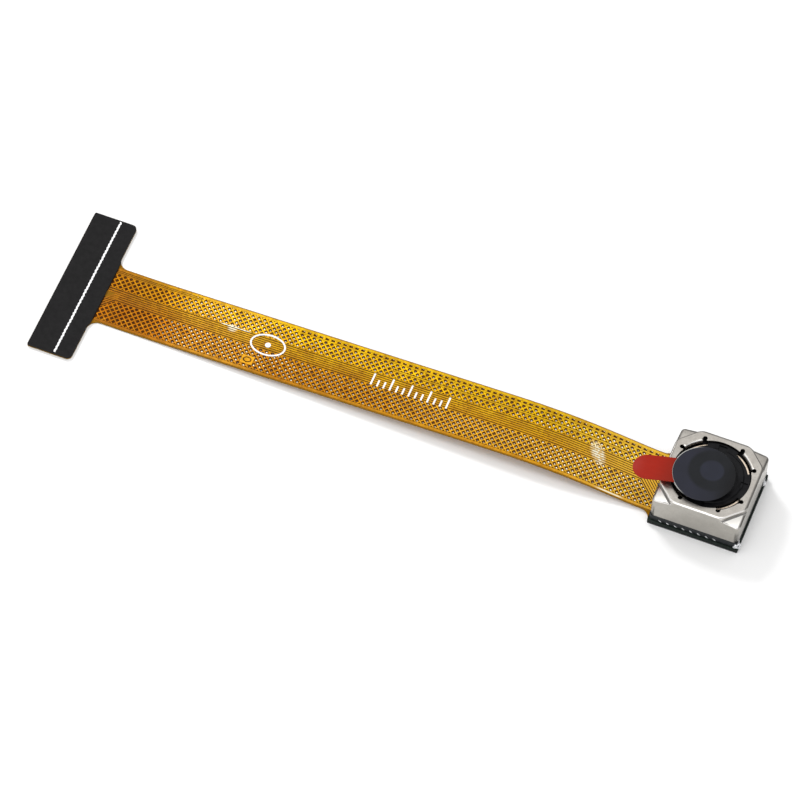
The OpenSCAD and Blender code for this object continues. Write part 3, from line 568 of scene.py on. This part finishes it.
arc = Look("spring_arc", Metallic=1.0)
x, y, z = arc.place()
out = (x * x + y * y).root()
bright = (arc.band(out, LINE_FROM, LINE_FROM + LINE_FADE, LINE_TO - LINE_FADE, LINE_TO)
          * arc.smooth(arc.grain(0.5, 2), 0.3, 0.45, 0.5, 1))
arc.set(Base_Color=arc.mix(bright, RING_SHADE, SPRING_METAL),
        Roughness=arc.smooth(arc.grain(0.2, 3), 0.3, 0.7, 0.22, 0.32))
looks["arc"] = arc
print("spring_arc made")

# %% [markdown]
# Each solid that keeps its own shape now gets its finish, as the only material of
# its mesh. Six solids are left out, because new pieces stand in for them: the can,
# the protective film and its tab, two kinds of solder and the insertion line.

# %% Finishes on the solids
WEARS = {
    "amber": ["flex_film"],
    "foil": ["copper_traces"],
    "lattice": ["lattice_rising", "lattice_falling"],
    "arc": ["upper_spring"],
    "spring": ["lower_spring"],
    "steel": ["head_stiffener"],
    "gold": ["contact_fingers"],
    "black_film": ["contact_stiffener"],
    "white_ink": ["print_marks"],
    "board": ["sensor_board"],
    "base": ["actuator_base"],
    "solder": ["coil_terminals"],
    "silicon": ["image_sensor"],
    "array": ["pixel_array"],
    "ceramic": ["chip_capacitors"],
    "filter": ["ir_filter"],
    "magnet": ["corner_magnets"],
    "coil": ["drive_coil"],
    "glass": ["front_lens", "second_lens", "third_lens", "fourth_lens", "rear_lens"],
    "black": ["driver_chip", "spring_frame", "lens_carrier", "lens_barrel", "light_baffles",
              "retaining_ring"],
}

for worn, nodes in WEARS.items():
    for node in nodes:
        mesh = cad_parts[node].data
        mesh.materials.clear()
        mesh.materials.append(looks[worn].material)
print(sum(len(nodes) for nodes in WEARS.values()), "solids dressed")

# %% [markdown]
# Every new piece ends in the same way: its mesh is shrunk to metres and it gets a
# finish, a body to ride on and the solids that it stands for.

# %% Finishing a piece
def finish(bm, name, look, body, replaces=(), smooth=True):
    """Smooth is True, False or a test that picks the faces to shade smoothly."""
    flags = [smooth(f) if callable(smooth) else smooth for f in bm.faces]
    bmesh.ops.scale(bm, vec=(MM, MM, MM), verts=bm.verts)
    mesh = bpy.data.meshes.new(name)
    bm.to_mesh(mesh)
    bm.free()
    mesh.polygons.foreach_set("use_smooth", flags)
    mesh.materials.append(look.material)
    piece = bpy.data.objects.new(name, mesh)
    scene.collection.objects.link(piece)
    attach(piece, body)
    if replaces:
        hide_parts(*replaces)
    print(name, "has", len(mesh.polygons), "faces")
    return piece


print("pieces can be finished")

# %% [markdown]
# The same few moves shape most of the pieces. A point is given by its radius and
# its angle, a chain of edges draws an outline, a sheet is pulled up to its
# thickness and a bevel softens its edges.

# %% Moves that shape the pieces
def polar(radius, degrees):
    """A point at a distance and an angle from the lens axis."""
    turn = math.radians(degrees)
    return Vector((radius * math.cos(turn), radius * math.sin(turn), 0))


def outline(bm, points):
    """A closed chain of edges through the points."""
    verts = [bm.verts.new(p) for p in points]
    return [bm.edges.new((verts[i - 1], verts[i])) for i in range(len(verts))]


def largest_flat(bm):
    """The largest face that looks straight up."""
    return max((f for f in bm.faces if f.normal.z > 0.99), key=lambda f: f.calc_area())


def pull_up(bm, faces, height):
    """Extrudes faces and lifts the copy, so that a sheet gets its thickness."""
    made = bmesh.ops.extrude_face_region(bm, geom=faces)["geom"]
    verts = [g for g in made if isinstance(g, bmesh.types.BMVert)]
    bmesh.ops.translate(bm, vec=(0, 0, height), verts=verts)


def soften(bm, edges, width, segments):
    """A rounded bevel along the edges."""
    bmesh.ops.bevel(bm, geom=edges, offset=width, segments=segments, affect="EDGES", profile=0.5,
                    material=-1)


def rise(edge):
    """How much higher one end of an edge is than the other."""
    return abs(edge.verts[0].co.z - edge.verts[1].co.z)


def curved(face):
    """Faces that lie in none of the three main planes."""
    return max(abs(c) for c in face.normal) < 0.9999


def with_borders(faces):
    """The faces with their edges and corners, each of them once."""
    edges = dict.fromkeys(e for f in faces for e in f.edges)
    verts = dict.fromkeys(v for f in faces for v in f.verts)
    return faces + list(edges) + list(verts)


print("moves ready")

# %% [markdown]
# The can is drawn from one sheet. Its model starts as a box up to the low corner
# shelves: four diagonal cuts part the corners from the middle of the top, the
# middle is extruded up, and a bevel gives every drawn edge its soft bend.

# %% The can: pressed shape
# The sheet's thickness, and how far a shelf falls per millimetre outwards
SHEET, SHELF_FALL = 0.15, 0.16
# Radii of the upright corners, of the bends and of the turns in the top's outline
CORNER_R, BEND_R, TURN_R = 0.4, 0.16, 1.1
CORNERS = (45, 135, 225, 315)
# Heights and distances that differ by less are taken as the same
HAIR = 0.01
cut_at = (side - LEG) / math.sqrt(2)

bm = bmesh.new()
middle = Vector((0, 0, (can_low.z + shelf) / 2))
block = Matrix.LocRotScale(middle, None, (side, side, shelf - can_low.z))
bmesh.ops.create_cube(bm, size=1, matrix=block)
soften(bm, [e for e in bm.edges if rise(e) > 1], CORNER_R, 6)
bmesh.ops.delete(bm, geom=[f for f in bm.faces if f.normal.z < -0.9], context="FACES_ONLY")
for corner in CORNERS:
    top = with_borders([f for f in bm.faces if f.normal.z > 0.9])
    bmesh.ops.bisect_plane(bm, geom=top, plane_co=polar(cut_at, corner), plane_no=polar(1, corner))
lid = largest_flat(bm)
pull_up(bm, [lid], STEP)
if lid.is_valid:
    bmesh.ops.delete(bm, geom=[lid], context="FACES_ONLY")
bmesh.ops.dissolve_limit(bm, angle_limit=math.radians(2), verts=bm.verts, edges=bm.edges)
for v in bm.verts:
    beyond = (abs(v.co.x) + abs(v.co.y) - side + LEG) / math.sqrt(2)
    if abs(v.co.z - shelf) < 0.1 * HAIR and beyond > 2 * HAIR:
        v.co.z -= SHELF_FALL * beyond
turns = [e for e in bm.edges if abs(rise(e) - STEP) < HAIR]
soften(bm, turns, TURN_R * math.tan(math.radians(22.5)), 5)
sharp = [e for e in bm.edges if len(e.link_faces) == 2 and e.calc_face_angle() > math.radians(30)]
soften(bm, sharp, BEND_R, 4)
print("pressed shape:", len(sharp), "edges bent,", len(bm.faces), "faces")

# %% [markdown]
# The round opening has eight keyhole reliefs, two at each corner, and the sheet
# between the two of a pair is bent down as a lip. Its outline is drawn as one
# closed chain of points, from which the lips are extruded later. Cutting the holes
# out of a finished sheet would leave ragged edges for the lips to start from.

# %% The can: outline of the opening
OPENING_R, RELIEF_AT, RELIEF_R, RELIEF_ANGLE, NECK = 3.65, 3.93, 0.22, 17.5, 0.13
LIP_R, LIP_BEND, LIP_STEPS, LIP_GAP = 3.70, 0.24, 5, 0.08
# Numbers of edges along a relief, a lip and the plain opening between two corners
RELIEF_EDGES, LIP_EDGES, OPENING_EDGES = 10, 12, 20
RELIEF_END = -86
lip_start = LIP_R + LIP_BEND
lip_half = RELIEF_ANGLE - math.degrees(RELIEF_R / lip_start)
neck_angle = math.degrees(NECK / OPENING_R)


def keyhole(corner, hand):
    """Points of one relief, from the opening round to the lip; hand -1 is clockwise of the corner."""
    centre = corner + hand * RELIEF_ANGLE
    first = 180 - math.degrees(math.asin(NECK / RELIEF_R))
    points = [polar(OPENING_R, centre + hand * neck_angle)]
    for k in range(RELIEF_EDGES + 1):
        turn = first + (RELIEF_END - first) * k / RELIEF_EDGES
        points.append(polar(RELIEF_AT, centre) + polar(RELIEF_R, centre + hand * turn))
    return points if hand < 0 else points[::-1]


def opening_points():
    """The outline of the opening, and where in it each lip starts."""
    points, lips = [], []
    for corner in CORNERS:
        points += keyhole(corner, -1)
        lips.append(len(points))
        for k in range(1, LIP_EDGES):
            points.append(polar(lip_start, corner - lip_half + 2 * lip_half * k / LIP_EDGES))
        points += keyhole(corner, 1)
        start = corner + RELIEF_ANGLE + neck_angle
        end = corner + 90 - RELIEF_ANGLE - neck_angle
        points += [polar(OPENING_R, start + (end - start) * k / OPENING_EDGES)
                   for k in range(1, OPENING_EDGES)]
    return points, lips


points, lips = opening_points()
print("opening outline of", len(points), "points")

# %% [markdown]
# The flat top is taken out and filled again between its own edge and the outline of
# the opening. Each lip grows from twelve edges of that outline, in five short steps
# round its bend and a last one straight down to just above the spring. The finished
# skin gets the thickness of the sheet on its inner side.

# %% The can: top and lips
def bend_lip(bm, edges, bottom):
    """Extrudes a lip from its edges: round the bend, then straight down to the bottom."""
    radius, height = lip_start, can_high.z
    for k in range(1, LIP_STEPS + 2):
        turn = math.radians(90 * min(k, LIP_STEPS) / LIP_STEPS)
        next_radius = LIP_R + LIP_BEND * (1 - math.sin(turn))
        next_height = can_high.z - LIP_BEND * (1 - math.cos(turn)) if k <= LIP_STEPS else bottom
        made = bmesh.ops.extrude_edge_only(bm, edges=edges)["geom"]
        verts = [g for g in made if isinstance(g, bmesh.types.BMVert)]
        edges = [g for g in made if isinstance(g, bmesh.types.BMEdge)]
        inward = next_radius / radius
        bmesh.ops.scale(bm, vec=(inward, inward, 1), verts=verts)
        bmesh.ops.translate(bm, vec=(0, 0, next_height - height), verts=verts)
        radius, height = next_radius, next_height


top_face = largest_flat(bm)
top_edges = list(top_face.edges)
bmesh.ops.delete(bm, geom=[top_face], context="FACES_ONLY")
chain = outline(bm, [p + Vector((0, 0, can_high.z)) for p in points])
lip_edges = [chain[first:first + LIP_EDGES] for first in lips]
bmesh.ops.triangle_fill(bm, use_beauty=True, edges=top_edges + chain, normal=(0, 0, 1))
lip_bottom = box_mm("upper_spring")[1].z + LIP_GAP
for edges in lip_edges:
    bend_lip(bm, edges, lip_bottom)
bmesh.ops.recalc_face_normals(bm, faces=bm.faces)
if sum(f.normal.z * f.calc_area() for f in bm.faces) < 0:
    bmesh.ops.reverse_faces(bm, faces=bm.faces)
can = finish(bm, "can_shell", satin, "module", ["yoke_can"], smooth=curved)
wall = can.modifiers.new("sheet", "SOLIDIFY")
wall.thickness, wall.offset = SHEET * MM, -1
print("lips bent down to", round(lip_bottom, 2), "mm")

# %% [markdown]
# A film disc protects the lens until the module is built in. It clings to the
# raised nose and stands free outside it and over the entrance; its colour is dark
# with a painted bluish reflection, stronger where it stands free, and painted shade
# on the right. Its rim is softened, and a painted highlight on its left gives it a
# thin line of light.

# %% The protective disc
film_box = box_mm("protective_film")
COVER_AT, COVER_R, COVER_SIDES, COVER_SOFT = Vector((-0.6, -0.6, 0)), 2.92, 96, 0.02
# The lens under the disc: the raised nose, and the entrance in its middle
NOSE_R, ENTRANCE_R = 2.14, 1.1
RIM_W, RIM_HIGHLIGHT = 0.08, (0.38, 0.38, 0.36)
# Painted reflections on the dark film, and painted shade on its right
REFLECTION_LEFT, REFLECTION_RIGHT, CLINGING_REFLECTION = (0.017, 0.018, 0.029), (0.008, 0.009, 0.011), (0.007, 0.008, 0.010)
ENTRANCE_REFLECTION, BLOOM, SHADED = (0.017, 0.019, 0.031), (0.012, 0.013, 0.017), (0.004, 0.004, 0.005)

clear = Look("film_with_painted_reflection", Specular_IOR_Level=0.22, IOR=1.5)
x, y, z = clear.place()
out = (x * x + y * y).root()
# Painted reflection: stronger on the left, weaker where the film clings, stronger over the entrance,
# random patches, then painted shade to the right
tone = clear.mix(clear.smooth(x + 0.4 * y, -2.2, 2.6), REFLECTION_LEFT, REFLECTION_RIGHT)
tone = clear.mix(clear.smooth(out, NOSE_R + 0.25, NOSE_R - 0.15), tone, CLINGING_REFLECTION)
tone = clear.mix(clear.smooth(out, ENTRANCE_R + 0.12, ENTRANCE_R - 0.12), tone, ENTRANCE_REFLECTION)
tone = clear.mix(clear.smooth(clear.grain(1.5, 3), 0.35, 0.7, 0, 0.3), tone, BLOOM)
tone = clear.mix(clear.smooth(x, 0.8, 2.3), tone, SHADED)
from_middle = ((x - COVER_AT.x) ** 2 + (y - COVER_AT.y) ** 2).root()
# Painted highlight along the left part of the rim
rim = (from_middle > COVER_R - RIM_W) * clear.smooth(x, -1.4, -2.4)
clear.set(Base_Color=clear.mix(rim, tone, RIM_HIGHLIGHT),
          Roughness=clear.smooth(clear.grain(0.7, 2), 0.3, 0.7, 0.16, 0.26))
bm = bmesh.new()
bmesh.ops.create_circle(bm, cap_ends=True, segments=COVER_SIDES, radius=COVER_R)
pull_up(bm, bm.faces[:], film_box[1].z - film_box[0].z)
bmesh.ops.recalc_face_normals(bm, faces=bm.faces)
soften(bm, [e for e in bm.edges if all(v.co.z > 0.01 for v in e.verts)], COVER_SOFT, 2)
bmesh.ops.translate(bm, vec=COVER_AT + Vector((0, 0, film_box[0].z)), verts=bm.verts)
finish(bm, "cover_disc", clear, "lens_unit", ["protective_film"], smooth=curved)

# %% [markdown]
# The red tab is the handle of the film. It is a strip of dyed plastic stuck to the
# disc, with a round end that sinks slightly under its own weight. It is cut across
# many times first, so that it can bend.

# %% The pull tab
tab_box = box_mm("pull_tab")
TAB_W, TAB_REACH, TAB_TURN, TAB_SIDES = 2.6, 6.5, 194, 16
# The tab starts just inside the disc's rim, a hair above its underside
TAB_FROM, TAB_LIFT = COVER_R - 0.04, 0.01
CUTS, CUT_FROM, CUT_STEP = 15, 2.8, 0.27
SAG_FROM, SAG = 3.0, 0.012
TAB_SOFT = 0.015
DYE_DEEP, DYE_THIN, DYE_SHADED = (0.285, 0.010, 0.003), (0.345, 0.016, 0.005), (0.23, 0.012, 0.004)

red = Look("red_tab", Specular_IOR_Level=0.12)
x, y, z = red.place()
streaked = red.mix(red.grain(0.8, 3, (0.4, 2.0, 1)), DYE_DEEP, DYE_THIN)
red.set(Base_Color=red.mix(red.smooth(x, -5.2, -3.0), streaked, DYE_SHADED),
        Roughness=red.smooth(red.grain(0.5, 2), 0.3, 0.7, 0.38, 0.5))
red.bump(red.grain(0.5, 3, (0.3, 1.5, 1)), 0.01, 0.6)

grip = math.degrees(math.asin(TAB_W / 2 / TAB_FROM))
tip = Vector((TAB_REACH - TAB_W / 2, 0, 0))
bm = bmesh.new()
inner_end = [polar(TAB_FROM, grip - 2 * grip * k / TAB_SIDES) for k in range(TAB_SIDES + 1)]
round_end = [tip + polar(TAB_W / 2, -90 + 180 * k / TAB_SIDES) for k in range(TAB_SIDES + 1)]
strip = bm.faces.new([bm.verts.new(p) for p in inner_end + round_end])
pull_up(bm, [strip], tab_box[1].z - film_box[0].z - TAB_LIFT)
bmesh.ops.recalc_face_normals(bm, faces=bm.faces)
for k in range(1, CUTS + 1):
    everything = bm.verts[:] + bm.edges[:] + bm.faces[:]
    bmesh.ops.bisect_plane(bm, geom=everything, plane_co=(CUT_FROM + CUT_STEP * k, 0, 0),
                           plane_no=(1, 0, 0))
for v in bm.verts:
    v.co.z -= SAG * max(0, v.co.x - SAG_FROM) ** 2
seat = Matrix.Translation(COVER_AT + Vector((0, 0, film_box[0].z + TAB_LIFT)))
turned = Matrix.Rotation(math.radians(TAB_TURN), 4, "Z")
bmesh.ops.transform(bm, matrix=seat @ turned, verts=bm.verts)
tab = finish(bm, "tab_strip", red, "lens_unit", ["pull_tab"])
soft = tab.modifiers.new("soft_edge", "BEVEL")
soft.width, soft.segments, soft.limit_method = TAB_SOFT * MM, 2, "ANGLE"
print("tab reaches", TAB_REACH, "mm from the disc's middle")

# %% [markdown]
# The board is soldered along its front edge. Each joint is a small slanting bead:
# a ball stretched, turned and dented by noise, partly sunk in the edge.

# %% Solder beads on the front edge
pads_low, pads_high = box_mm("edge_pads")
PAD_COUNT, PAD_W = 8, 0.28
PAD_SIZES, PAD_TILT, PAD_SUNK, PAD_RISE = (0.19, 0.055, 0.045), 32, 0.02, 0.17
DENT, DENT_SCALE, DENT_SHIFT = 0.22, 1.7, 3.1
pad_step = (pads_high.x - pads_low.x - PAD_W) / (PAD_COUNT - 1)


def bead(bm, place, sizes, tilt, seed):
    """One lump of solder: a ball stretched to three half sizes, leaning by tilt degrees."""
    made = bmesh.ops.create_icosphere(bm, subdivisions=3, radius=1)["verts"]
    for v in made:
        v.co *= 1 + DENT * noise.noise(v.co * DENT_SCALE + Vector((seed * DENT_SHIFT, 0, 0)))
    lean = Matrix.Rotation(math.radians(tilt), 4, "Y")
    stretched = Matrix.Diagonal((*sizes, 1))
    bmesh.ops.transform(bm, matrix=Matrix.Translation(place) @ lean @ stretched, verts=made)


bm = bmesh.new()
for i in range(PAD_COUNT):
    place = Vector((pads_low.x + PAD_W / 2 + i * pad_step, pads_high.y - PAD_SUNK,
                    pads_low.z + PAD_RISE))
    bead(bm, place, PAD_SIZES, PAD_TILT, i)
finish(bm, "edge_joints", looks["solder"], "module", ["edge_pads"])

# %% [markdown]
# Two lumps of solder hold the coil's terminals on the right side. The nearer one
# has flowed round the corner of the base, so it is made of three beads.

# %% Solder lumps at the terminals
# Place, half sizes, lean and seed of each bead
LUMPS = (
    ((4.30, -4.02, 0.80), (0.27, 0.30, 0.30), 20, 11),
    ((4.18, -4.22, 0.85), (0.24, 0.16, 0.30), -30, 12),
    ((4.02, -4.24, 0.62), (0.20, 0.12, 0.18), 40, 14),
    ((4.27, 3.30, 0.72), (0.20, 0.30, 0.22), 0, 13),
)

bm = bmesh.new()
for place, sizes, tilt, seed in LUMPS:
    bead(bm, Vector(place), sizes, tilt, seed)
finish(bm, "terminal_lumps", looks["solder"], "module", ["solder_joints"])

# %% [markdown]
# The insertion line is screen printed, so its edges are slightly ragged. It is a
# long grid whose border is moved by seeded random steps before it gets its
# thickness.

# %% The insertion line
line_low, line_high = box_mm("insertion_line")
LINE_ROWS, LINE_FILL, LINE_LIMIT = 150, 0.82, 0.135
SWAY, SWAY_PER_MM, RAGGED = 0.028, 15.5, 0.012

random.seed(4)
bm = bmesh.new()
bmesh.ops.create_grid(bm, x_segments=2, y_segments=LINE_ROWS, size=0.5)
bmesh.ops.scale(bm, vec=(line_high.x - line_low.x, line_high.y - line_low.y, 1), verts=bm.verts)
sway = {}
for v in bm.verts:
    row = round(v.co.y, 4)
    if row not in sway:
        sway[row] = SWAY * math.sin(row * SWAY_PER_MM) + random.uniform(-RAGGED, RAGGED)
    x = LINE_FILL * v.co.x + sway[row] + random.uniform(-RAGGED, RAGGED)
    v.co.x = max(-LINE_LIMIT, min(LINE_LIMIT, x))
pull_up(bm, bm.faces[:], line_high.z - line_low.z)
bmesh.ops.recalc_face_normals(bm, faces=bm.faces)
middle = (line_low + line_high) / 2
bmesh.ops.translate(bm, vec=(middle.x, middle.y, line_low.z), verts=bm.verts)
finish(bm, "line_ink", looks["white_ink"], "module", ["insertion_line"], smooth=False)
